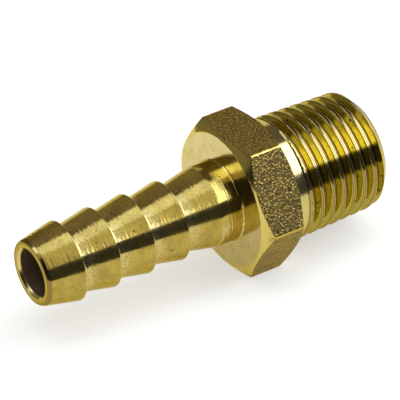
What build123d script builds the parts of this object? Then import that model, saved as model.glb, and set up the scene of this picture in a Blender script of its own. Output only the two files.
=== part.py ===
"""One-piece brass hose tail: a four-barb spigot for 8 mm hose, a spanner hexagon and
a 1/4 inch BSP taper thread, turned from a forged blank and bored right through.

Lengths are in millimetres and angles in degrees. The bore's axis is X. The origin is
on that axis, in the plane of the hexagon's front face, where the hose end stops. -X is
the hose end, +X is the threaded end, and two flats of the hexagon face +Z and -Z.
"""
import os
from math import atan, cos, degrees, radians, sin, tan

from build123d import *

# ---- bore -------------------------------------------------------------------
bore_diameter = 4.9
bore_mouth_chamfer = 0.25

# ---- hose spigot ------------------------------------------------------------
spigot_length = 22.3            # hexagon's front face to the tip
nose_face_diameter = 6.6        # flat ring at the tip
nose_diameter = 6.93            # where the first cone starts
nose_chamfer_length = 0.28
barb_count = 4
barb_pitch = 4.0
first_barb_from_tip = 3.9
barb_diameter = 8.4
barb_root_diameter = 7.0
barb_crest_land = 0.12          # narrow flat along each crest
barb_back_length = 0.3          # steep step behind each crest
shank_diameter = 8.52
shank_length = 2.45             # plain cylinder against the hexagon
shoulder_slope = 0.15           # the tool's corner, left where shank meets hexagon

# ---- hexagon ----------------------------------------------------------------
across_flats = 15.0
hexagon_length = 5.3
hexagon_edge_radius = 0.35      # along the six long edges
end_chamfer_angle = 30.0
front_face_diameter = 14.5      # flat ring that the front chamfer leaves
back_face_diameter = 13.4

# ---- neck and taper thread --------------------------------------------------
neck_diameter = 13.0
neck_length = 1.05
stub_length = 11.4              # hexagon's back face to the threaded end
threads_per_inch = 19
thread_angle = 55.0             # Whitworth form
thread_taper = 1 / 16           # on the diameter
gauge_diameter = 13.157         # full thread diameter in the gauge plane
gauge_length = 6.0              # threaded end to the gauge plane
blank_diameter = 12.9           # taper blank in the gauge plane: it leaves flat crests
thread_phase = -24.0            # from +Y towards +Z, where a groove meets the gauge plane
first_groove_from_neck = 0.37   # centre of the groove where the cutter was lifted out
run_out_lead = 15.0             # turn by which the cutter starts ahead of that groove
run_out_margin = 0.05           # metal left over the crest where the cutter starts
thread_chamfer = 0.9

# ---- values that follow from the sizes above --------------------------------
tip_x = -spigot_length
neck_end_x = hexagon_length + neck_length
thread_end_x = hexagon_length + stub_length
gauge_x = thread_end_x - gauge_length
inside_hexagon_x = hexagon_length / 2

thread_pitch = 25.4 / threads_per_inch
thread_depth = 0.640327 * thread_pitch
pitch_line_radius = (gauge_diameter - thread_depth) / 2
root_line_radius = pitch_line_radius - thread_depth / 2
half_angle = radians(thread_angle / 2)
taper_angle = degrees(atan(thread_taper / 2))


def at_x(radius_in_gauge_plane, x):
    """Radius at x of a cone that has the thread's taper."""
    return radius_in_gauge_plane - (x - gauge_x) * thread_taper / 2


def turned(points):
    """Solid turned about X from a closed outline of (x, radius) points."""
    return revolve(make_face(Polyline(*points, close=True)), Axis.X)


def hose_spigot():
    """Four barbs, then a last cone that runs up on to the plain shank."""
    shank_radius = shank_diameter / 2
    outline = [
        (tip_x, 0),
        (tip_x, nose_face_diameter / 2),
        (tip_x + nose_chamfer_length, nose_diameter / 2),
    ]
    for barb in range(barb_count):
        crest_x = tip_x + first_barb_from_tip + barb * barb_pitch
        outline.append((crest_x - barb_crest_land, barb_diameter / 2))
        outline.append((crest_x, barb_diameter / 2))
        outline.append((crest_x + barb_back_length, barb_root_diameter / 2))
    outline += [
        (-shank_length, shank_radius),
        (-shoulder_slope, shank_radius),
        (0, shank_radius + shoulder_slope),
        (inside_hexagon_x, shank_radius + shoulder_slope),
        (inside_hexagon_x, 0),
    ]
    return turned(outline)


def hexagon():
    """Forged hexagon: rounded long edges, both ends turned off to a chamfer."""
    outline = RegularPolygon(across_flats / 2, 6, major_radius=False)
    outline = fillet(outline.vertices(), hexagon_edge_radius)
    prism = extrude(Plane.YZ * outline, hexagon_length)
    widening = hexagon_length / tan(radians(end_chamfer_angle))
    front = front_face_diameter / 2
    back = back_face_diameter / 2
    front_cone = turned([
        (0, 0),
        (0, front),
        (hexagon_length, front + widening),
        (hexagon_length, 0),
    ])
    back_cone = turned([
        (0, 0),
        (0, back + widening),
        (hexagon_length, back),
        (hexagon_length, 0),
    ])
    return prism & front_cone & back_cone


def taper_blank():
    """Neck and taper, left over-long so that the cutter ends in solid metal."""
    blank_radius = blank_diameter / 2
    overlength = 3 * thread_pitch
    long_end_x = thread_end_x + overlength
    return turned([
        (inside_hexagon_x, 0),
        (inside_hexagon_x, neck_diameter / 2),
        (neck_end_x, neck_diameter / 2),
        (neck_end_x, at_x(blank_radius, neck_end_x)),
        (long_end_x, at_x(blank_radius, long_end_x)),
        (long_end_x, 0),
    ])


def groove_section():
    """Thread groove across the helix: x is outwards from the thread's crest line."""
    root_x = root_line_radius - gauge_diameter / 2
    flank_rise = thread_depth / 2 * tan(half_angle)
    half_top = thread_pitch / 4 + flank_rise
    half_root = thread_pitch / 4 - flank_rise
    outline = [(0, -half_top), (0, half_top), (root_x, half_root), (root_x, -half_root)]
    return make_face(Polyline(*outline, close=True))


def thread_cutter():
    """Groove section carried along the tapering helix, fading in at the neck."""
    lead_x = thread_pitch * run_out_lead / 360
    first_groove_x = neck_end_x + first_groove_from_neck
    start_x = first_groove_x - lead_x
    start_angle = thread_phase + 360 * (start_x - gauge_x) / thread_pitch
    path = Helix(
        pitch=thread_pitch,
        height=thread_end_x + thread_pitch - start_x,
        radius=at_x(gauge_diameter / 2, start_x),
        cone_angle=-taper_angle,
    )
    across_path = Plane(origin=path @ 0, x_dir=(1, 0, 0), z_dir=path % 0)
    groove = sweep(across_path * groove_section(), path=path, is_frenet=True)

    # The tool leaves the work over a quarter turn: an eccentric cylinder keeps the
    # metal there, level with the crest where the groove starts and clear after 90 deg.
    root = at_x(root_line_radius, first_groove_x)
    lift = at_x(blank_diameter / 2, first_groove_x) - root + run_out_margin
    toward = radians(run_out_lead)
    guard_end = (lift * cos(toward), lift * sin(toward), lead_x + thread_pitch / 2)
    guard = Cylinder(root, 2 * thread_pitch, align=(Align.CENTER, Align.CENTER, Align.MAX))
    groove -= Location(guard_end) * guard

    outwards = (0, cos(radians(start_angle)), sin(radians(start_angle)))
    return Plane(origin=(start_x, 0, 0), x_dir=outwards, z_dir=(1, 0, 0)) * groove


def threaded_stub():
    """Neck and thread, cut to length and chamfered after threading."""
    chamfer_x = thread_end_x - thread_chamfer
    chamfer_radius = at_x(blank_diameter / 2, chamfer_x)
    rise = neck_diameter / 2        # carries the 45 degree cone well outside the blank
    finished = turned([
        (0, 0),
        (0, chamfer_radius + rise),
        (chamfer_x - rise, chamfer_radius + rise),
        (thread_end_x, chamfer_radius - thread_chamfer),
        (thread_end_x, 0),
    ])
    return (taper_blank() - thread_cutter()) & finished


def bore():
    """Straight bore through the whole fitting, eased at both mouths."""
    radius = bore_diameter / 2
    mouth = radius + bore_mouth_chamfer
    return turned([
        (tip_x, 0),
        (tip_x, mouth),
        (tip_x + bore_mouth_chamfer, radius),
        (thread_end_x - bore_mouth_chamfer, radius),
        (thread_end_x, mouth),
        (thread_end_x, 0),
    ])


hose_barb_tail = hose_spigot() + hexagon() + threaded_stub() - bore()

os.makedirs("parts", exist_ok=True)
export_step(hose_barb_tail, "parts/hose_barb_tail.step")
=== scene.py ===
# %% [markdown]
# # A brass hose tail
#
# The real fitting is one piece of brass: a blank is forged roughly to shape, and then
# turned, threaded and bored on a lathe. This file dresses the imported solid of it, puts
# it on a pale table under soft light, and shows how each finish is made.
#
# Everything is in metres. The bore's axis is X, the origin is in the plane of the
# hexagon's front face, -X is the hose end and +X is the threaded end.

from math import atan2, cos, pi, radians, sin, sqrt, tan

import bpy
from mathutils import Matrix, Quaternion, Vector


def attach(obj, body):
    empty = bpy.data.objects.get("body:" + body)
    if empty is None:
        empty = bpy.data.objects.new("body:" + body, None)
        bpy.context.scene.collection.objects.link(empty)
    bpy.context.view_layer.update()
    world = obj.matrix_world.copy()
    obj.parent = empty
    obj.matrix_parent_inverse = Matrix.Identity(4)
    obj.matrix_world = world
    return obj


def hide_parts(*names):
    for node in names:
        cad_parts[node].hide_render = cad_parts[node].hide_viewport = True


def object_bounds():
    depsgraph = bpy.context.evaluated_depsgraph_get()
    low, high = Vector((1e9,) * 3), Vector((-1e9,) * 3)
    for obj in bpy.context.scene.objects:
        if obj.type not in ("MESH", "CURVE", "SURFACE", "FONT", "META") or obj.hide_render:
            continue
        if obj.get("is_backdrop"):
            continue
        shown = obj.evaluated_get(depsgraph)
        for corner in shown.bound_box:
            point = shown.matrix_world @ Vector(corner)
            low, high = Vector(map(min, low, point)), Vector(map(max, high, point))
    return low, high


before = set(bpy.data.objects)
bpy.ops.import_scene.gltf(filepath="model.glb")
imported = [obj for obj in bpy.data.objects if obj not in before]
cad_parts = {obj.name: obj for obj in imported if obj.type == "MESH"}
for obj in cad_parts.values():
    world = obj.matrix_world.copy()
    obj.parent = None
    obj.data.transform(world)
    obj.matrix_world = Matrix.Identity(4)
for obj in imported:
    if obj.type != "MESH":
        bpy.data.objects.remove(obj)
cad_low, cad_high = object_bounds()
print("solid from", tuple(cad_low), "to", tuple(cad_high))

MM = 0.001
table_z = cad_low.z
bpy.ops.object.select_all(action="DESELECT")

# %% [markdown]
# ## Camera
#
# The fitting is seen from above its hose end, with a long lens from about 30 cm, so it
# looks nearly as flat as a drawing. A direction is easier to check than a rotation, so
# the camera is given its place, the way that it looks, and a slight roll.

# %% Camera
camera_place = Vector((-0.13651, -0.20745, 0.17564))
looks_toward = radians(-32.86)      # round the fitting; 0 looks along +Y
looks_down = radians(35.27)
roll = radians(-0.776)
lens_mm = 270.8
sensor_mm = 36

toward = Vector((
    -sin(looks_toward) * cos(looks_down),
    cos(looks_toward) * cos(looks_down),
    -sin(looks_down),
))
bpy.ops.object.camera_add(location=camera_place)
camera = bpy.context.object
camera.name = "camera"
camera.rotation_mode = "QUATERNION"
camera.rotation_quaternion = (
    toward.to_track_quat("-Z", "Y") @ Quaternion((0, 0, 1), roll)
)
camera.data.lens = lens_mm
camera.data.sensor_width = sensor_mm
camera.data.clip_start = 0.01
camera.data.clip_end = 20
bpy.context.scene.camera = camera
print("camera at", tuple(camera.location), "lens", lens_mm)

# %% [markdown]
# ## Studio
#
# Brass has hardly any look of its own: what is seen on it is the room, tinted gold. So
# the studio is built in two halves that are kept apart. Two soft lamps and a pale sky
# light the table and whatever is dull. What the brass mirrors are cards standing round
# it, bright where a highlight belongs and dim where a dark band belongs. The cards are
# seen by mirror-like surfaces only. They light nothing else, cast no shadow, and are
# never in the picture themselves, so each one can be as bright or as tinted as it needs
# to be, and the table stays white.

# %% Helpers for the studio
def overhead(x, y, height=1.0):
    """Point at that height, in the direction (x, y, 1) from the fitting."""
    return Vector((x, y, 1)) * height


def card_material(name, colour, level):
    """Even glow of one colour and brightness, where 1 is white."""
    material = bpy.data.materials.new(name)
    material.use_nodes = True
    nodes = material.node_tree.nodes
    nodes.remove(nodes["Principled BSDF"])
    glow = nodes.new("ShaderNodeEmission")
    glow.inputs["Color"].default_value = colour
    glow.inputs["Strength"].default_value = level
    material.node_tree.links.new(
        glow.outputs["Emission"], nodes["Material Output"].inputs["Surface"]
    )
    return material


def reflection_card(name, corners, colour, level):
    """Four-cornered card that only mirror-like surfaces see."""
    bpy.ops.object.select_all(action="DESELECT")
    bpy.ops.mesh.primitive_plane_add(size=1)
    card = bpy.context.object
    card.name = name
    for vertex, corner in zip(card.data.vertices, corners):
        vertex.co = corner
    card.data.materials.append(card_material(name, colour, level))
    card.visible_camera = False
    card.visible_diffuse = False
    card.visible_shadow = False
    card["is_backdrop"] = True
    print(name, "level", level)


def seen_directly_or_mirrored(nodes, links):
    """1 for what the camera sees, directly or in the brass, and 0 for what lights."""
    ray = nodes.new("ShaderNodeLightPath")
    seen = nodes.new("ShaderNodeMath")
    seen.operation = "MAXIMUM"
    links.new(ray.outputs["Is Camera Ray"], seen.inputs[0])
    links.new(ray.outputs["Is Glossy Ray"], seen.inputs[1])
    return seen.outputs[0]


# %% [markdown]
# ### Table
#
# The fitting lies on the lowest flat of its hexagon, with both ends clear of the table.
# The table is large enough to be the whole background. White paint returns four fifths
# of the light that falls on it, which would show as pale grey. A little glow that
# lights nothing lifts it to white, and leaves a soft shadow under the fitting.

# %% Table
TABLE_SIZE = 12
WHITE_PAINT = (0.8, 0.8, 0.8, 1)
TABLE_GLOW = 0.5

bpy.ops.mesh.primitive_plane_add(size=TABLE_SIZE, location=(0, 0, table_z))
table = bpy.context.object
table.name = "table"
table_paint = bpy.data.materials.new("white table")
table_paint.use_nodes = True
nodes = table_paint.node_tree.nodes
links = table_paint.node_tree.links
table_shader = nodes["Principled BSDF"]
table_shader.inputs["Base Color"].default_value = WHITE_PAINT
table_shader.inputs["Roughness"].default_value = 1.0
table_shader.inputs["Specular IOR Level"].default_value = 0.0
table_shader.inputs["Emission Color"].default_value = (1, 1, 1, 1)
glow_level = nodes.new("ShaderNodeMath")
glow_level.operation = "MULTIPLY"
glow_level.inputs[1].default_value = TABLE_GLOW
links.new(seen_directly_or_mirrored(nodes, links), glow_level.inputs[0])
links.new(glow_level.outputs[0], table_shader.inputs["Emission Strength"])
table.data.materials.append(table_paint)
table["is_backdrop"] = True
print("table at", table_z, "m")

# %% [markdown]
# ### Sky
#
# Beyond the table there is only an even white. It is seen at full strength and lights
# at less than half of that, so the lamps still shape the shadow.

# %% Sky
SKY_LIGHTS = 0.45
SKY_SEEN = 1.0

sky = bpy.data.worlds.new("sky")
bpy.context.scene.world = sky
sky.use_nodes = True
nodes = sky.node_tree.nodes
links = sky.node_tree.links
nodes["Background"].inputs["Color"].default_value = (1, 1, 1, 1)
level = nodes.new("ShaderNodeMapRange")
level.inputs["To Min"].default_value = SKY_LIGHTS
level.inputs["To Max"].default_value = SKY_SEEN
links.new(seen_directly_or_mirrored(nodes, links), level.inputs["Value"])
links.new(level.outputs[0], nodes["Background"].inputs["Strength"])
print("sky lights at", SKY_LIGHTS, "and is seen at", SKY_SEEN)

# %% [markdown]
# ### Lamps
#
# One wide soft lamp hangs overhead and a second one to the right. They are white and
# large, so the shadow is faint and has no edge. The brass does not mirror them, since
# the cards below take that part.

# %% Lamps
def soft_lamp(name, centre, length, width, brightness):
    """Rectangular lamp that faces the table. Brightness 1 looks white."""
    bpy.ops.object.light_add(type="AREA", location=centre)
    lamp = bpy.context.object
    lamp.name = name
    lamp.data.shape = "RECTANGLE"
    lamp.data.size = length
    lamp.data.size_y = width
    lamp.data.energy = brightness * pi * length * width
    lamp.visible_camera = False
    lamp.visible_glossy = False
    print(name, round(lamp.data.energy, 2), "W")


soft_lamp("overhead lamp", overhead(0.1, 0.1), 1.3, 0.55, 1.3)
soft_lamp("right lamp", overhead(0.95, -0.55), 1.1, 1.4, 1.6)

# %% [markdown]
# ### Bright cards
#
# A turned surface mirrors each card as a stripe along it. The strip overhead gives the
# broad stripe high on the barbs, the card to its left the glare on the hexagon's front
# face, and the card to the right the glare on the neck and the thread's crests. Brass
# mirrors little blue, so cards of cool white are what make a highlight look white and
# not orange.
#
# A card needs only the right direction from the fitting. Its corners are points in that
# direction at a fixed height, low enough for the cards to stay small.

# %% Bright cards
COOL_WHITE = (0.62, 0.68, 1, 1)
COLD_WHITE = (0.5, 0.6, 1, 1)
height = 0.6
reflection_card("overhead card", (
    overhead(-0.25, 0.02, height), overhead(0.42, -0.48, height),
    overhead(-0.25, 0.58, height), overhead(0.42, 0.13, height),
), COOL_WHITE, 2.75)
reflection_card("overhead left card", (
    overhead(-1.1, 0.4, height), overhead(-0.25, 0.0, height),
    overhead(-1.1, 1.0, height), overhead(-0.25, 0.58, height),
), COLD_WHITE, 7.0)
height = 0.3
reflection_card("right card", (
    overhead(0.3, -1.45, height), overhead(2.0, -1.45, height),
    overhead(0.46, 0.12, height), overhead(2.0, -0.5, height),
), COOL_WHITE, 6.5)

# %% [markdown]
# ### Dim cards behind
#
# The tops of the barbs and of the thread mirror what stands far behind them. If that
# were white sky, they would melt into the background. Two grey cards rise from behind
# the table to the edge of the overhead strip, the right one darker, and give the
# brownish zone along the upper outline.

# %% Dim cards behind
FAR_GREY = (0.95, 0.85, 1, 1)
far_y = 1.8
far_split_x = 0.72              # where the right card begins
far_top_left = overhead(-1.1, 1.0)
far_top_middle = overhead(0.2, 0.32)
far_top_right = overhead(1.4, -0.32)
reflection_card("far left card", (
    Vector((-1.5, far_y, 0.1)), Vector((far_split_x, far_y, 0.1)),
    far_top_left, far_top_middle,
), FAR_GREY, 0.36)
reflection_card("far right card", (
    Vector((far_split_x, far_y, 1.0)), Vector((3.0, far_y, 1.0)),
    far_top_middle, far_top_right,
), FAR_GREY, 0.16)

# %% [markdown]
# ### Dim cards in front and to the left
#
# A band that is nearly black runs the whole length of the fitting, between the overhead
# stripe and the light that comes back from the table. It is the mirror image of a dark
# card in front, which stands on the table and leans back under the camera. Small cards
# to the left darken the hose end of the hexagon and the sides of the thread grooves
# that face that way.

# %% Dim cards in front and to the left
WARM_GREY = (1, 0.94, 0.82, 1)
COLD_GREY = (0.55, 0.58, 1, 1)
near_foot_y = -0.085
near_left_x, near_right_x = -0.8, 1.2
near_top = overhead(0, -1.58, 0.34)
left_x = -0.15
reflection_card("near card", (
    Vector((near_left_x, near_foot_y, table_z)),
    Vector((near_right_x, near_foot_y, table_z)),
    Vector((near_left_x, near_top.y, near_top.z)),
    Vector((near_right_x, near_top.y, near_top.z)),
), COLD_GREY, 0.115)
reflection_card("left card", (
    Vector((left_x, -0.3, table_z)), Vector((left_x, 0.04, table_z)),
    Vector((left_x, -0.3, 0.1)), Vector((left_x, 0.04, 0.1)),
), COLD_GREY, 0.05)
reflection_card("left back card", (
    Vector((left_x, 0.03, table_z)), Vector((-0.007, 0.05, table_z)),
    Vector((left_x, 0.03, 0.04)), Vector((-0.007, 0.05, 0.035)),
), WARM_GREY, 0.25)
height = 0.3
reflection_card("left overhead card", (
    overhead(-1.6, -2.0, height), overhead(-0.22, -2.0, height),
    overhead(-1.6, -0.2, height), overhead(-0.22, -0.2, height),
), COLD_GREY, 0.08)

# %% [markdown]
# ## Drawing an outline
#
# Nearly every face of the fitting was made on a lathe, so most of the model is an
# outline turned about the bore's axis. A lathe tool never leaves a perfectly sharp
# corner, and it is the small rounded corners that catch the light, so each corner of
# an outline has its own radius. The outline is drawn as by hand: one point is placed,
# and each next point is extruded from it.

# %% Outline helpers
ARC_STEPS = 4                   # edges round each rounded corner
STEPS_AROUND = 192              # edges round the axis
STEPS_AROUND_BORE = 128
WELD = MM / 10000               # points closer than this are one point


def select_only(thing):
    """Makes one object the selected and the active one."""
    bpy.ops.object.select_all(action="DESELECT")
    bpy.context.view_layer.objects.active = thing
    thing.select_set(True)


def rounded(corners):
    """Outline points from (x, radius, corner radius) corners, in millimetres."""
    points = []
    for here, (x, y, corner_radius) in enumerate(corners):
        at = Vector((x, y))
        if not corner_radius or here in (0, len(corners) - 1):
            points.append(at)
            continue
        back = (Vector(corners[here - 1][:2]) - at).normalized()
        ahead = (Vector(corners[here + 1][:2]) - at).normalized()
        half_corner = back.angle(ahead) / 2
        run = corner_radius / tan(half_corner)
        centre = at + (back + ahead).normalized() * (corner_radius / sin(half_corner))
        first = at + back * run - centre
        turn = first.angle_signed(at + ahead * run - centre)
        for step in range(ARC_STEPS + 1):
            spoke = first.copy()
            spoke.rotate(Matrix.Rotation(-turn * step / ARC_STEPS, 2))
            points.append(centre + spoke)
    return points


def draw_outline(name, points):
    """Open line of edges through (x, radius) points, in the XZ plane."""
    bpy.ops.object.select_all(action="DESELECT")
    bpy.ops.mesh.primitive_plane_add(size=MM)
    outline = bpy.context.object
    outline.name = name
    bpy.ops.object.mode_set(mode="EDIT")
    bpy.ops.mesh.select_mode(type="VERT")
    bpy.ops.mesh.merge(type="CENTER")
    places = [Vector((x, 0, radius)) * MM for x, radius in points]
    bpy.ops.transform.translate(value=places[0])
    for here, there in zip(places, places[1:]):
        bpy.ops.mesh.extrude_region_move(TRANSFORM_OT_translate={"value": there - here})
    bpy.ops.object.mode_set(mode="OBJECT")
    return outline


def turn_outline(outline, steps=STEPS_AROUND):
    """Spins an outline that starts and ends on the axis into a closed solid."""
    bpy.ops.object.mode_set(mode="EDIT")
    bpy.ops.mesh.select_all(action="SELECT")
    bpy.ops.mesh.spin(steps=steps, angle=2 * pi, center=(0, 0, 0), axis=(1, 0, 0))
    bpy.ops.mesh.select_all(action="SELECT")
    bpy.ops.mesh.remove_doubles(threshold=WELD)
    bpy.ops.mesh.normals_make_consistent(inside=False)
    bpy.ops.object.mode_set(mode="OBJECT")
    print(outline.name, "has", len(outline.data.polygons), "faces")
    return outline


def combine(target, tool, operation):
    """Applies one boolean to the target, and removes the tool."""
    select_only(target)
    modifier = target.modifiers.new(operation.lower(), "BOOLEAN")
    modifier.operation = operation
    modifier.object = tool
    bpy.ops.object.modifier_apply(modifier=modifier.name)
    bpy.data.objects.remove(tool)


# %% [markdown]
# ## Hose spigot
#
# Four barbs grip the hose. Each is a cone that widens away from the tip and ends in a
# steep back face, so a hose slides on easily and catches when it is pulled. The whole
# spigot is one outline turned about the axis. It runs on into the middle of the
# hexagon, so that the two overlap where they are joined.

# %% Hose spigot
tip_x = cad_low.x / MM
tip_radius = 3.3
nose_chamfer = 0.28
nose_radius = 3.465
barb_count = 4
barb_pitch = 4.0
barb_radius = 4.2
barb_root_radius = 3.5
crest_land = 0.12               # narrow flat along each crest
back_length = 0.3               # steep step behind each crest
first_crest_x = tip_x + 3.9
shank_radius = 4.26
shank_x = -2.45                 # where the plain shank begins
shoulder = 0.15                 # slope in the corner of shank and hexagon
hexagon_middle_x = 2.65

spigot_corners = [
    (tip_x, 0, 0),
    (tip_x, tip_radius, 0.08),
    (tip_x + nose_chamfer, nose_radius, 0.3),
]
for barb in range(barb_count):
    crest_x = first_crest_x + barb * barb_pitch
    spigot_corners += [
        (crest_x - crest_land, barb_radius, 0.3),
        (crest_x, barb_radius, 0.09),
        (crest_x + back_length, barb_root_radius, 0.12),
    ]
spigot_corners += [
    (shank_x, shank_radius, 2.0),
    (-shoulder, shank_radius, 0.1),
    (0, shank_radius + shoulder, 0),
    (hexagon_middle_x, shank_radius + shoulder, 0),
    (hexagon_middle_x, 0, 0),
]
spigot = turn_outline(draw_outline("hose spigot", rounded(spigot_corners)))

# %% [markdown]
# ## Hexagon
#
# The spanner grips the hexagon. Its flats keep the rough skin of the forging die, and
# its two ends are turned off on the lathe, which leaves the curved chamfer lines that
# every nut has. The same happens here: a six-sided bar has its long edges bevelled, and
# is then cut by two turned cones.

# %% Hexagon
hexagon_length = 5.3
across_flats = 15.0
edge_bevel = 0.2
end_slope = radians(30)
front_radius = 7.25
back_radius = 6.7

bpy.ops.object.select_all(action="DESELECT")
bpy.ops.mesh.primitive_cylinder_add(
    vertices=6,
    radius=across_flats / sqrt(3) * MM,
    depth=hexagon_length * MM,
    rotation=(0, pi / 2, 0),
    location=(hexagon_middle_x * MM, 0, 0),
)
hexagon = bpy.context.object
hexagon.name = "hexagon"
bpy.ops.object.transform_apply(location=True, rotation=True, scale=True)
bpy.ops.object.mode_set(mode="EDIT")
bpy.ops.mesh.select_all(action="DESELECT")
bpy.ops.object.mode_set(mode="OBJECT")
for edge in hexagon.data.edges:
    ends = [hexagon.data.vertices[i].co for i in edge.vertices]
    edge.select = abs(ends[0].x - ends[1].x) > MM
bpy.ops.object.mode_set(mode="EDIT")
bpy.ops.mesh.select_mode(type="EDGE")
bpy.ops.mesh.bevel(offset=edge_bevel * MM, segments=6, affect="EDGES")
bpy.ops.object.mode_set(mode="OBJECT")
print("hexagon corners at", max(v.co.y for v in hexagon.data.vertices) / MM)

beyond = 1                      # the cones reach past the far end of the bar
widening = (hexagon_length + beyond) / tan(end_slope)
front_cone = turn_outline(draw_outline("front cone", rounded([
    (0, 0, 0),
    (0, front_radius, 0.1),
    (hexagon_length + beyond, front_radius + widening, 0),
    (hexagon_length + beyond, 0, 0),
])))
back_cone = turn_outline(draw_outline("back cone", rounded([
    (-beyond, 0, 0),
    (-beyond, back_radius + widening, 0),
    (hexagon_length, back_radius, 0.1),
    (hexagon_length, 0, 0),
])))
combine(hexagon, front_cone, "INTERSECT")
combine(hexagon, back_cone, "INTERSECT")
print("hexagon has", len(hexagon.data.polygons), "faces")

# %% [markdown]
# ## Taper thread
#
# The thread is a groove that climbs 1.337 mm with each turn, while the blank under it
# gets slimmer by 1 in 16. One pitch of the thread's outline is drawn, with the small
# flat that the blank leaves on each crest, and the Screw modifier winds it round the
# axis. Two things no modifier gives: the taper, and the place by the neck where the
# threading tool was lifted out over a quarter of a turn. Both are made by moving each
# point in or out.

# %% Thread sizes
pitch = 25.4 / 19               # 19 turns to the inch
depth = 0.640327 * pitch        # Whitworth form
half_angle = radians(27.5)
taper_slope = 1 / 32            # on the radius
thread_end_x = cad_high.x / MM
gauge_x = thread_end_x - 6.0    # plane in which the radii below are measured
full_radius = 13.157 / 2
blank_radius = 12.9 / 2
root_radius = full_radius - depth
neck_radius = 6.5
neck_end_x = 6.35
thread_phase = radians(-24)     # where a groove meets the gauge plane
first_groove_x = neck_end_x + 0.37
print("pitch", round(pitch, 3), "depth", round(depth, 3), "mm")

# %% One pitch of thread
rise = depth / 2 * tan(half_angle)
half_top = pitch / 4 + rise - (full_radius - blank_radius) * tan(half_angle)
half_root = pitch / 4 - rise
seam = 0.04                     # the crest's edges stand up a little above its middle
thread_turns = 12
thread_steps = 160              # to the turn
drawn_at = pi / 2               # the outline is drawn in the XZ plane, above the axis
start_turn = round((neck_end_x - gauge_x) / pitch) - 2
start_x = gauge_x + pitch * (start_turn + (drawn_at - thread_phase) / (2 * pi))

pitch_points = rounded([
    (start_x - pitch / 2, blank_radius - seam, 0),
    (start_x - half_top, blank_radius, 0.05),
    (start_x - half_root, root_radius, 0.1),
    (start_x + half_root, root_radius, 0.1),
    (start_x + half_top, blank_radius, 0.05),
    (start_x + pitch / 2, blank_radius - seam, 0),
])
stub = draw_outline("threaded stub", pitch_points)
winding = stub.modifiers.new("winding", "SCREW")
winding.axis = "X"
winding.screw_offset = pitch * MM
winding.iterations = thread_turns
winding.angle = 2 * pi
winding.steps = thread_steps
winding.render_steps = thread_steps
winding.use_merge_vertices = True
winding.merge_threshold = WELD
bpy.ops.object.modifier_apply(modifier=winding.name)
xs = [v.co.x / MM for v in stub.data.vertices]
print("thread runs from", min(xs), "to", max(xs), "faces", len(stub.data.polygons))

# %% Taper and run-out
lift = blank_radius - root_radius + 0.05        # the tool starts just above the blank


def lifted_tool_radius(turned_by):
    """Depth that the tool reaches as it swings out, as an eccentric circle."""
    across = lift * sin(turned_by)
    return lift * cos(turned_by) + sqrt(root_radius ** 2 - across ** 2)


for vertex in stub.data.vertices:
    x, y, z = vertex.co / MM
    radius = sqrt(y * y + z * z)
    groove_x = gauge_x + pitch * (atan2(z, y) - thread_phase) / (2 * pi)
    groove_x += pitch * round((x - groove_x) / pitch)
    turned_by = 2 * pi * (groove_x - first_groove_x) / pitch
    wanted = radius
    if turned_by < 0:
        wanted = blank_radius
    elif turned_by < pi / 2:
        wanted = max(radius, min(blank_radius, lifted_tool_radius(turned_by)))
    wanted -= (x - gauge_x) * taper_slope
    vertex.co.y *= wanted / radius
    vertex.co.z *= wanted / radius

select_only(stub)
bpy.ops.object.mode_set(mode="EDIT")
bpy.ops.mesh.select_all(action="SELECT")
bpy.ops.mesh.remove_doubles(threshold=MM / 1000)
bpy.ops.mesh.fill_holes(sides=0)
bpy.ops.mesh.select_all(action="SELECT")
bpy.ops.mesh.normals_make_consistent(inside=False)
bpy.ops.object.mode_set(mode="OBJECT")

# %% [markdown]
# The wound rod is longer than the thread at both ends. It is cut to length by the shape
# that the lathe leaves: a flat end face with a 45 degree chamfer, which also takes the
# sharp start off the thread.

# %% Cut the thread to length
thread_chamfer = 0.9
chamfer_radius = blank_radius - (thread_end_x - thread_chamfer - gauge_x) * taper_slope
clear = 3.0                     # how far the shape stands off the thread
neck_cone = 0.3                 # length of the short cone from neck to thread

cut_shape = turn_outline(draw_outline("cut shape", rounded([
    (neck_end_x, 0, 0),
    (neck_end_x, neck_radius - 0.01, 0),
    (neck_end_x + neck_cone, neck_radius + 0.09, 0.3),
    (neck_end_x + neck_cone + 0.01, chamfer_radius + clear, 0),
    (thread_end_x - thread_chamfer - clear, chamfer_radius + clear, 0),
    (thread_end_x, chamfer_radius - thread_chamfer, 0.06),
    (thread_end_x, 0, 0),
])))
combine(stub, cut_shape, "INTERSECT")
print("stub has", len(stub.data.polygons), "faces")

# %% [markdown]
# ## One piece of brass
#
# The real fitting is one piece, so the parts above are joined and the bore is drilled
# through them last.
#
# This step has a known fault. The first union, of spigot and hexagon, fails in most
# runs: the spigot's end and side stay as stray walls inside the hexagon, and its end
# crosses the bore, so the mesh isn't closed and not always the same. Only somebody who
# looks down the bore can see it. The likely reason is that the circle round the shank's
# shoulder lies exactly in the plane of the hexagon's front face.

# %% Neck, union and bore
neck = turn_outline(draw_outline("neck", rounded([
    (hexagon_length - 1, 0, 0),
    (hexagon_length - 1, neck_radius, 0),
    (neck_end_x, neck_radius, 0),
    (neck_end_x + neck_cone, neck_radius - 1.5, 0),
    (neck_end_x + neck_cone, 0, 0),
])))
bore_radius = 2.45
mouth_chamfer = 0.25
outside = 1                     # the drill starts and ends outside the metal
drill = turn_outline(draw_outline("drill", rounded([
    (tip_x - outside, 0, 0),
    (tip_x - outside, bore_radius + mouth_chamfer + outside, 0),
    (tip_x + mouth_chamfer, bore_radius, 0.15),
    (thread_end_x - mouth_chamfer, bore_radius, 0.15),
    (thread_end_x + outside, bore_radius + mouth_chamfer + outside, 0),
    (thread_end_x + outside, 0, 0),
])), STEPS_AROUND_BORE)

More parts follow.
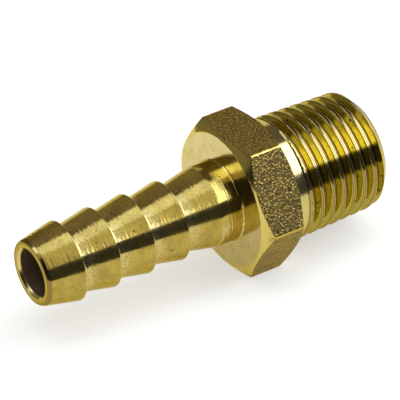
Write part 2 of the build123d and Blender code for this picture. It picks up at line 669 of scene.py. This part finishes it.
body = spigot
combine(body, hexagon, "UNION")
combine(body, stub, "UNION")
combine(body, neck, "UNION")
combine(body, drill, "DIFFERENCE")
body.name = "brass_body"
body.data.name = "brass_body"
select_only(body)
bpy.ops.object.shade_smooth_by_angle(angle=radians(28))
triangles = sum(len(p.vertices) - 2 for p in body.data.polygons)
print("brass body has", len(body.data.polygons), "faces,", triangles, "triangles")

# %% [markdown]
# ## Finishes
#
# It is bare brass all over, with no plating and no lacquer. One place looks different
# from the next because of how it was cut, so the body has five finishes:
#
# - turned brass on the spigot and the neck, with fine rings from the lathe tool
# - threaded brass, with greyer crests and painted shade at the bottom of the groove
# - faced brass on the flat ends and the chamfers, nearly a mirror
# - forged brass on the six flats, with the sandy skin that the die left
# - bored brass inside, dull and brown
#
# All the marks are noise, cell and wave patterns laid out in millimetres on the object,
# so a mark has its own size wherever it lies, and nothing has to be unwrapped. These
# helpers only shorten the wiring of the nodes.

# %% Helpers for nodes
def connect(tree, value, socket):
    """Links an output to the socket, or sets a plain value on it."""
    if isinstance(value, bpy.types.NodeSocket):
        tree.links.new(value, socket)
    else:
        socket.default_value = value


def add(tree, kind, **inputs):
    """New shader node with the given inputs."""
    made = tree.nodes.new("ShaderNode" + kind)
    for name, value in inputs.items():
        connect(tree, value, made.inputs[name.replace("_", " ")])
    return made


def calc(tree, operation, a, b=0.0):
    """Result of one step of arithmetic on two values."""
    made = tree.nodes.new("ShaderNodeMath")
    made.operation = operation
    connect(tree, a, made.inputs[0])
    connect(tree, b, made.inputs[1])
    return made.outputs[0]


def times(tree, a, b):
    """Product of two values."""
    return calc(tree, "MULTIPLY", a, b)


def plus(tree, a, b):
    """Sum of two values."""
    return calc(tree, "ADD", a, b)


def larger(tree, a, b):
    """Larger of two values."""
    return calc(tree, "MAXIMUM", a, b)


def ramp(tree, value, low, high, out_low=0.0, out_high=1.0):
    """Smooth step of a value, from out_low at low to out_high at high."""
    made = add(tree, "MapRange", Value=value)
    made.interpolation_type = "SMOOTHSTEP"
    made.inputs["From Min"].default_value = low
    made.inputs["From Max"].default_value = high
    made.inputs["To Min"].default_value = out_low
    made.inputs["To Max"].default_value = out_high
    return made.outputs["Result"]


def blend(tree, factor, under, over):
    """Colour that goes from one to the other with the factor."""
    made = tree.nodes.new("ShaderNodeMix")
    made.data_type = "RGBA"
    connect(tree, factor, made.inputs["Factor"])
    connect(tree, under, made.inputs["A"])
    connect(tree, over, made.inputs["B"])
    return made.outputs["Result"]


# %% [markdown]
# Every pattern starts from the place of a point on the object. The mapping turns metres
# into millimetres, and can squeeze or stretch a pattern along each axis. From the same
# place comes the distance to the bore's axis, which tells a crest from a root and an
# edge from a flat.

# %% Helpers for places on the object
def millimetres(tree, stretch=(1, 1, 1)):
    """Place on the object in millimetres, times a factor along each axis."""
    place_on = tree.nodes.new("ShaderNodeTexCoord")
    mapping = add(tree, "Mapping", Vector=place_on.outputs["Object"])
    mapping.inputs["Scale"].default_value = [s / MM for s in stretch]
    return mapping.outputs["Vector"]


def place_parts(tree):
    """X and Z of the place, and its distance from the axis, all in millimetres."""
    parts = add(tree, "SeparateXYZ", Vector=millimetres(tree))
    squares = plus(
        tree,
        calc(tree, "POWER", parts.outputs["Y"], 2.0),
        calc(tree, "POWER", parts.outputs["Z"], 2.0),
    )
    return parts.outputs["X"], parts.outputs["Z"], calc(tree, "SQRT", squares)


# %% [markdown]
# Marks that several finishes share are node groups. A group has inputs for what differs
# from one finish to the next, and gives out masks or heights that each finish uses in
# its own colour, roughness or bump.

# %% Helpers for shared marks
def new_group(name, inputs, outputs):
    """Empty node group with inputs {name: value} and the named outputs."""
    group = bpy.data.node_groups.new(name, "ShaderNodeTree")
    for socket, value in inputs.items():
        made = group.interface.new_socket(
            socket, in_out="INPUT", socket_type="NodeSocketFloat"
        )
        made.default_value = value
    for socket in outputs:
        group.interface.new_socket(
            socket, in_out="OUTPUT", socket_type="NodeSocketFloat"
        )
    return group, group.nodes.new("NodeGroupInput"), group.nodes.new("NodeGroupOutput")


def place(tree, group, **inputs):
    """Node that uses a group in a finish."""
    made = tree.nodes.new("ShaderNodeGroup")
    made.node_tree = group
    for name, value in inputs.items():
        made.inputs[name.replace("_", " ")].default_value = value
    return made


# %% [markdown]
# ### Lathe rings
#
# The tool moves a little along the fitting with each turn, so it leaves fine rings.
# A wave pattern would draw them perfectly even, which looks like a printed label. Noise
# that is squeezed along the axis and stretched across it gives rings of uneven depth
# that begin and end, as real ones do. A second, slower noise makes whole patches of
# rings duller than their neighbours.

# %% Lathe rings
rings, _, rings_out = new_group("lathe rings", {}, ["Height", "Shade"])
fine = add(
    rings, "TexNoise",
    Vector=millimetres(rings, (5, 0.16, 0.16)), Scale=1.0, Detail=1.0, Roughness=0.6,
)
broad = add(
    rings, "TexNoise",
    Vector=millimetres(rings, (1.2, 0.3, 0.3)), Scale=1.0, Detail=2.0, Roughness=0.5,
)
connect(rings, fine.outputs["Fac"], rings_out.inputs["Height"])
connect(rings, ramp(rings, broad.outputs["Fac"], 0.35, 0.62), rings_out.inputs["Shade"])
print("lathe rings: about 5 to the millimetre")

# %% [markdown]
# ### Small pits
#
# Brass is cast before it is forged, and cutting it opens a few pores that fill with
# dirt. Cells spread them out at random, yet evenly. Each cell also has a colour of its
# own, and a pit is kept only where the red of that colour is low, so one number sets
# how many there are. A little noise on the distance keeps the pits from being round.

# %% Small pits
pits, pits_in, pits_out = new_group(
    "small pits", {"Per mm": 1.6, "Share": 0.12}, ["Pit"]
)
cells = add(
    pits, "TexVoronoi", Vector=millimetres(pits), Scale=pits_in.outputs["Per mm"]
)
ragged = add(pits, "TexNoise", Vector=millimetres(pits), Scale=6.0, Detail=2.0)
from_middle = plus(
    pits, cells.outputs["Distance"], times(pits, ragged.outputs["Fac"], 0.4)
)
spot = ramp(pits, from_middle, 0.34, 0.5, 1.0, 0.0)
chosen = add(pits, "SeparateColor", Color=cells.outputs["Color"])
kept = calc(pits, "LESS_THAN", chosen.outputs["Red"], pits_in.outputs["Share"])
connect(pits, times(pits, spot, kept), pits_out.inputs["Pit"])
print("small pits: at most one in each cell")

# %% [markdown]
# ### Tarnish
#
# Air and fingers turn brass brown, unevenly: in slow blotches of a millimetre or two,
# in a finer mottle inside them, and in specks drawn out a little round the fitting.
# Three noises at different scales give these, and each finish decides how strongly they
# show.

# %% Tarnish
tarnish, tarnish_in, tarnish_out = new_group(
    "tarnish", {"Per mm": 0.5}, ["Amount", "Mottle", "Speckle"]
)
blotch = add(
    tarnish, "TexNoise",
    Vector=millimetres(tarnish), Scale=tarnish_in.outputs["Per mm"],
    Detail=4.0, Roughness=0.6,
)
mottle = add(
    tarnish, "TexNoise",
    Vector=millimetres(tarnish), Scale=3.6, Detail=2.0, Roughness=0.6,
)
speckle = add(
    tarnish, "TexNoise",
    Vector=millimetres(tarnish, (1, 0.6, 0.6)), Scale=6.0, Detail=1.0,
)
for noise, low, high, result in [
    (blotch, 0.38, 0.66, "Amount"),
    (mottle, 0.45, 0.75, "Mottle"),
    (speckle, 0.42, 0.62, "Speckle"),
]:
    mask = ramp(tarnish, noise.outputs["Fac"], low, high)
    connect(tarnish, mask, tarnish_out.inputs[result])
print("tarnish: blotches, mottle and speckle")

# %% [markdown]
# ### Colours of brass
#
# A metal's colour is the share of the light that it mirrors. Brass mirrors about half
# of the red, a third of the green and hardly any blue. Where it mirrors itself, as the
# sides of a thread groove do, those shares multiply, and the yellow deepens to gold by
# itself. Fresh cuts and rubbed edges are paler; handled places are browner. The bottom
# of the thread groove and the hollows of the forged skin are painted darker, as shade,
# and a line along the thread's crests is painted dark, as a painted reflection. At a
# glancing angle a metal mirrors nearly everything, and the edge tint sets what colour
# that is. Dirt and pits lie on top of every finish that has them, so one helper adds
# them last and hands the colour over.

# %% Colours of brass
YELLOW_BRASS = (0.46, 0.345, 0.066, 1)
TARNISHED_BRASS = (0.37, 0.265, 0.055, 1)
BROWN_BRASS = (0.22, 0.15, 0.04, 1)
PALE_BRASS = (0.63, 0.54, 0.28, 1)
RUBBED_BRASS = (0.6, 0.49, 0.17, 1)
CHAMFER_BRASS = (0.6, 0.48, 0.12, 1)
THREAD_BRASS = (0.48, 0.39, 0.055, 1)
CREST_BRASS = (0.38, 0.3, 0.085, 1)
FORGED_BRASS = (0.56, 0.4, 0.07, 1)
# The hollow colour is painted shade between the forged grains.
FORGED_HOLLOW_SHADE = (0.26, 0.175, 0.04, 1)
FORGED_DARK_BROWN = (0.16, 0.12, 0.055, 1)
BORE_BRASS = (0.22, 0.15, 0.085, 1)
# Painted dark brown, for the painted shade at the thread's root and the painted reflection
# line on its crests.
PAINTED_DARK_BROWN = (0.13, 0.075, 0.02, 1)
DIRT = (0.05, 0.033, 0.012, 1)
EDGE_TINT = (0.92, 0.82, 0.5, 1)


def new_finish(name):
    """Bare metal to which a finish adds its colour, roughness and bump."""
    material = bpy.data.materials.new(name)
    material.use_nodes = True
    shader = material.node_tree.nodes["Principled BSDF"]
    shader.inputs["Metallic"].default_value = 1.0
    shader.inputs["Specular Tint"].default_value = EDGE_TINT
    return material, material.node_tree, shader


def set_colour(tree, shader, colour, speck, strength):
    """Gives the finish its colour, with dirt in the pits as strong as that."""
    dirty = blend(tree, times(tree, speck.outputs["Pit"], strength), colour, DIRT)
    connect(tree, dirty, shader.inputs["Base Color"])


def add_bump(tree, shader, height, depth_mm):
    """Raises the surface by a height from 0 to 1, which stands for that depth."""
    bump = add(tree, "Bump", Strength=1.0, Height=height)
    bump.inputs["Distance"].default_value = depth_mm * MM
    connect(tree, bump.outputs["Normal"], shader.inputs["Normal"])


# %% [markdown]
# ### Turned brass
#
# The spigot and the neck are as the lathe tool left them: bright, with rings. They have
# been touched unevenly. A band behind each barb is paler, on the lower side only: the
# tops are kept darker, as painted shade. The crests are rubbed pale by handling. The
# underside of the plain shank is pale too, next to the hexagon. The rim at the tip is
# brown. The neck was turned last and has hardly any tarnish.
#
# The place along the axis tells these apart. The remainder after dividing by the barbs'
# spacing says how far behind a crest a point is, so one rule serves all four barbs. Ten
# spacings are added first, to keep the divided length above zero.

# %% Turned brass: where it is pale
turned, tree, shader = new_finish("turned brass")
marks = place(tree, rings)
blotches = place(tree, tarnish, Per_mm=0.7)
speck = place(tree, pits, Per_mm=1.9, Share=0.09)
along, up, out = place_parts(tree)

from_first_crest = calc(tree, "SUBTRACT", along, first_crest_x)
above_zero = plus(tree, from_first_crest, 10 * barb_pitch)
behind_crest = calc(tree, "MODULO", above_zero, barb_pitch)
on_spigot = calc(tree, "LESS_THAN", along, shank_x - 0.15)
off_spigot = calc(tree, "SUBTRACT", 1.0, on_spigot)
on_neck = calc(tree, "GREATER_THAN", along, 4.0)
off_neck = calc(tree, "SUBTRACT", 1.0, on_neck)

uneven = times(tree, blotches.outputs["Mottle"], 1.1)
# A paler band behind each crest.
pale_band = ramp(tree, plus(tree, behind_crest, uneven), 0.6, 2.0, 0.8, 0.0)
pale_band = times(tree, pale_band, calc(tree, "GREATER_THAN", from_first_crest, 0.0))
# Kept off the tops of the barbs, which stay darker as painted shade.
pale_band = times(tree, pale_band, ramp(tree, up, 2.8, 3.6, 1.0, 0.1))
crest_line = calc(tree, "GREATER_THAN", behind_crest, barb_pitch - 0.1)
crest_line = times(tree, crest_line, 0.8)
pale = times(tree, larger(tree, pale_band, crest_line), on_spigot)
under_shank = times(tree, ramp(tree, up, -0.5, 0.8, 0.8, 0.0), off_spigot)
pale = larger(tree, pale, under_shank)
pale = larger(tree, pale, times(tree, on_neck, 0.75))
print("turned brass is pale behind the crests from", first_crest_x, "mm")

# %% [markdown]
# The colour is laid on in layers, from the widest to the smallest: blotches of tarnish,
# pale places, brown stains and the brown rim at the tip, and the pits on top. The rings
# go into the bump and make the roughness vary. They are only a fiftieth of a
# millimetre high; a mirror shows even that as a sawn edge on each reflection.

# %% Turned brass: colour and rings
colour = blend(tree, blotches.outputs["Amount"], YELLOW_BRASS, TARNISHED_BRASS)
colour = blend(tree, pale, colour, RUBBED_BRASS)
stains = plus(
    tree,
    times(tree, blotches.outputs["Mottle"], 0.3),
    times(tree, blotches.outputs["Speckle"], 0.16),
)
rim = ramp(tree, along, tip_x + 0.2, tip_x + 0.6, 0.9, 0.0)
rim = times(tree, rim, ramp(tree, out, 2.85, 3.2))
stains = larger(tree, times(tree, stains, off_neck), rim)
colour = blend(tree, stains, colour, BROWN_BRASS)
set_colour(tree, shader, colour, speck, 0.7)
roughness = ramp(tree, marks.outputs["Shade"], 0.0, 1.0, 0.11, 0.17)
connect(tree, roughness, shader.inputs["Roughness"])
add_bump(tree, shader, times(tree, marks.outputs["Height"], off_neck), 0.02)
print(turned.name, "has", len(tree.nodes), "nodes")

# %% [markdown]
# ### Threaded brass
#
# The crests are what is left of the turned blank, so they are greyer than the freshly
# cut groove. The cutter pushed their edges up a little. A dark line is painted along the
# middle of each crest, which splits its highlight in two: a painted reflection. The
# bottom of the groove is painted dark too, as shade. How deep a point lies below the
# slanting blank tells crest, side and root apart. The blank gets slimmer towards the
# end, so its radius is worked out at every place along the axis.

# %% Threaded brass
threaded, tree, shader = new_finish("threaded brass")
blotches = place(tree, tarnish, Per_mm=0.7)
speck = place(tree, pits, Per_mm=1.4, Share=0.08)
along, _, out = place_parts(tree)
blank_on_origin = blank_radius + gauge_x * taper_slope
slimmer = times(tree, along, taper_slope)
blank_here = calc(tree, "SUBTRACT", blank_on_origin, slimmer)
below_blank = calc(tree, "SUBTRACT", blank_here, out)
crest = ramp(tree, below_blank, 0.05, 0.14, 1.0, 0.0)
# Painted shade at the bottom of the groove.
root = ramp(tree, below_blank, 0.58, 0.68)
# Painted reflection: a dark line along the middle of each crest splits its highlight in
# two.
painted_split_line = times(tree, ramp(tree, below_blank, 0.018, 0.032, 0.0, 0.65), crest)

colour = blend(tree, crest, THREAD_BRASS, CREST_BRASS)
colour = blend(tree, painted_split_line, colour, PAINTED_DARK_BROWN)
colour = blend(tree, root, colour, PAINTED_DARK_BROWN)
colour = blend(tree, times(tree, blotches.outputs["Mottle"], 0.5), colour, BROWN_BRASS)
set_colour(tree, shader, colour, speck, 0.85)
connect(tree, ramp(tree, crest, 0.0, 1.0, 0.12, 0.13), shader.inputs["Roughness"])
print(threaded.name, "has", len(tree.nodes), "nodes")

# %% [markdown]
# ### Faced brass
#
# The ends of the hexagon, its chamfers and the threaded end are faced: the tool crosses
# them from the outside in and leaves very fine circles. They are the palest and the
# smoothest brass on the fitting, and yellower in blotches and towards the bottom. The
# chamfers are yellower still, and brownish towards the corners. Here a wave pattern is
# right, bent by its own distortion and kept faint.

# %% Faced brass
faced, tree, shader = new_finish("faced brass")
blotches = place(tree, tarnish, Per_mm=0.6)
speck = place(tree, pits, Per_mm=2.2, Share=0.03)
_, up, out = place_parts(tree)
circles = add(
    tree, "TexWave",
    Vector=millimetres(tree, (0, 1, 1)), Scale=0.9, Distortion=5.0, Detail=2.0,
)
circles.wave_type = "RINGS"
circles.rings_direction = "X"
# Yellower in blotches and towards the bottom of the face.
yellow_blotches_and_bottom = plus(
    tree,
    times(tree, blotches.outputs["Amount"], 0.3),
    ramp(tree, up, -4.0, 2.0, 0.3, 0.0),
)
fine_circles = ramp(tree, circles.outputs["Fac"], 0.4, 1.0, 0.0, 0.2)
on_chamfer = ramp(tree, out, 7.0, 7.3)
# Brown mottle on the outer part of the chamfers, more towards the corners.
brown_towards_corners = plus(tree, blotches.outputs["Mottle"], ramp(tree, out, 7.9, 8.5, 0.0, 0.5))
brown_towards_corners = times(tree, brown_towards_corners, ramp(tree, out, 7.5, 8.2, 0.0, 0.7))

colour = blend(tree, yellow_blotches_and_bottom, PALE_BRASS, YELLOW_BRASS)
colour = blend(tree, fine_circles, colour, YELLOW_BRASS)
colour = blend(tree, on_chamfer, colour, CHAMFER_BRASS)
colour = blend(tree, brown_towards_corners, colour, BROWN_BRASS)
set_colour(tree, shader, colour, speck, 0.6)
roughness = ramp(tree, blotches.outputs["Mottle"], 0.0, 1.0, 0.13, 0.16)
connect(tree, roughness, shader.inputs["Roughness"])
print(faced.name, "has", len(tree.nodes), "nodes")

# %% [markdown]
# ### Forged brass
#
# The flats were pressed by a sand-blasted die and never cut. Their skin is a field of
# grains a quarter of a millimetre wide, each a low dome that mirrors one light, so the
# flat that faces a lamp glitters and the others look soft and dull. Rounded cells make
# the domes; plain noise would make them run together like worms. The hollows between
# them are painted darker, as shade. Soot from forging has stayed here and there. The
# lower flats are darker, and have a few long scratches too. The long edges have been
# rubbed bright, which the distance from the axis picks out, made ragged by the same noise
# as the bump; on the lower flats they are less bright.

# %% Forged brass: grains
grains_per_mm = 4.2
forged, tree, shader = new_finish("forged brass")
lumps = add(
    tree, "TexNoise", Vector=millimetres(tree), Scale=2.4, Detail=3.0, Roughness=0.7
)
grain = add(tree, "TexVoronoi", Vector=millimetres(tree), Scale=grains_per_mm)
speck = place(tree, pits, Per_mm=0.8, Share=0.2)
dome = ramp(tree, grain.outputs["Distance"], 0.0, 0.75, 1.0, 0.0)
skin = plus(tree, dome, times(tree, lumps.outputs["Fac"], 1.5))
skin = calc(tree, "SUBTRACT", skin, speck.outputs["Pit"])
add_bump(tree, shader, skin, 0.018)
print("forged brass: grains of", round(1 / grains_per_mm, 2), "mm")

# %% Forged brass: colour and edges
_, up, out = place_parts(tree)
lower = ramp(tree, up, -0.6, 0.1, 1.0, 0.0)
rubbed = plus(tree, out, times(tree, lumps.outputs["Fac"], 0.1))
edge = ramp(tree, rubbed, 8.56, 8.62)
# The rubbed edges are less bright on the lower flats.
edge = times(tree, edge, ramp(tree, lower, 0.0, 1.0, 1.0, 0.25))
# Soot in patches, and darker all over the lower flats.
soot_and_darker_below = ramp(tree, lumps.outputs["Fac"], 0.46, 0.6, 0.0, 0.4)
soot_and_darker_below = plus(tree, soot_and_darker_below, times(tree, lower, 0.42))
drag = add(tree, "Mapping", Vector=millimetres(tree))
drag.inputs["Rotation"].default_value = (0, 0, radians(25))
drag.inputs["Scale"].default_value = (0.8, 5.0, 5.0)
scratch = add(tree, "TexNoise", Vector=drag.outputs["Vector"], Scale=1.0, Detail=2.0)
scratch = ramp(tree, scratch.outputs["Fac"], 0.57, 0.61, 0.0, 0.9)
scratch = times(tree, scratch, larger(tree, lower, 0.08))

# Painted shade: the hollows between the grains are darker.
colour = blend(tree, ramp(tree, dome, 0.15, 0.8), FORGED_HOLLOW_SHADE, FORGED_BRASS)
colour = blend(tree, soot_and_darker_below, colour, FORGED_DARK_BROWN)
colour = blend(tree, scratch, colour, DIRT)
colour = blend(tree, times(tree, speck.outputs["Pit"], 0.8), colour, DIRT)
colour = blend(tree, edge, colour, YELLOW_BRASS)        # rubbed clean, so over the dirt
connect(tree, colour, shader.inputs["Base Color"])
connect(tree, ramp(tree, edge, 0.0, 1.0, 0.34, 0.18), shader.inputs["Roughness"])
print(forged.name, "has", len(tree.nodes), "nodes")

# %% [markdown]
# ### Bored brass
#
# A drill leaves a coarser surface than a turning tool, and nothing has polished it
# since: dull, brown, with a film that is not all metal. The mouth at the hose end is
# the exception. Its small chamfer was cut by a tool and is bright, and it fades into
# the bore over a fifth of a millimetre.

# %% Bored brass
bored, tree, shader = new_finish("bored brass")
marks = place(tree, rings)
along, _, _ = place_parts(tree)
mouth = ramp(tree, along, tip_x + 0.15, tip_x + 0.35, 1.0, 0.0)
connect(tree, blend(tree, mouth, BORE_BRASS, RUBBED_BRASS), shader.inputs["Base Color"])
connect(tree, ramp(tree, mouth, 0.0, 1.0, 0.6, 1.0), shader.inputs["Metallic"])
connect(tree, ramp(tree, mouth, 0.0, 1.0, 0.36, 0.2), shader.inputs["Roughness"])
add_bump(tree, shader, marks.outputs["Height"], 0.03)
print(bored.name, "has", len(tree.nodes), "nodes")

# %% [markdown]
# ### Which face gets which finish
#
# The finishes change at the corners where one cut ended and the next began, so a face
# takes its finish from where its middle lies and which way it points. Faces of the bore
# lie close to the axis. The flat ends of the hexagon and of the thread were faced, and
# so were the sloping faces on the hexagon. Faces along the axis on the hexagon are
# forged, with the rounded long edges among them: the forged finish brightens those
# itself. Beyond the neck all else is thread, and what is left was turned.

# %% Which face gets which finish
finishes = [turned, threaded, faced, forged, bored]
TURNED, THREADED, FACED, FORGED, BORED = range(5)


def finish_of(face):
    """Number of the finish for one face of the body."""
    x = face.center.x / MM
    out = sqrt(face.center.y ** 2 + face.center.z ** 2) / MM
    square_on = abs(face.normal.x)              # 1 faces along the axis, 0 away from it
    flat_end = square_on > 0.98
    on_hexagon = 0 < x < hexagon_length and out > neck_radius
    hexagon_end = abs(x) < 0.02 or abs(x - hexagon_length) < 0.02
    if out < bore_radius + 0.2 and square_on < 0.9:
        return BORED
    if flat_end and x > thread_end_x - 0.05:
        return FACED
    if x > neck_end_x - 0.05 and out > bore_radius + 0.3:
        return THREADED
    if on_hexagon and square_on < 0.05:
        return FORGED
    if flat_end and hexagon_end:
        return FACED
    if on_hexagon and square_on > 0.3:
        return FACED
    return TURNED


body.data.materials.clear()
for finish in finishes:
    body.data.materials.append(finish)
for face in body.data.polygons:
    face.material_index = finish_of(face)
for number, finish in enumerate(finishes):
    count = sum(face.material_index == number for face in body.data.polygons)
    print(finish.name, "on", count, "faces")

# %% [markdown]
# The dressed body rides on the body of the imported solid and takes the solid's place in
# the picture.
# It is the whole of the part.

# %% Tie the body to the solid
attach(body, "root")
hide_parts("hose_barb_tail")
print(body.name, "rides on root")

# %% [markdown]
# ## Last settings
#
# The picture is shown as it is lit, with no look laid over it. The sizes of the solid
# and of the dressed part are kept side by side, so that they can be compared.

# %% Last settings
bpy.context.scene.view_settings.view_transform = "Standard"
low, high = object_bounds()
print("visual model from", tuple(low), "to", tuple(high))
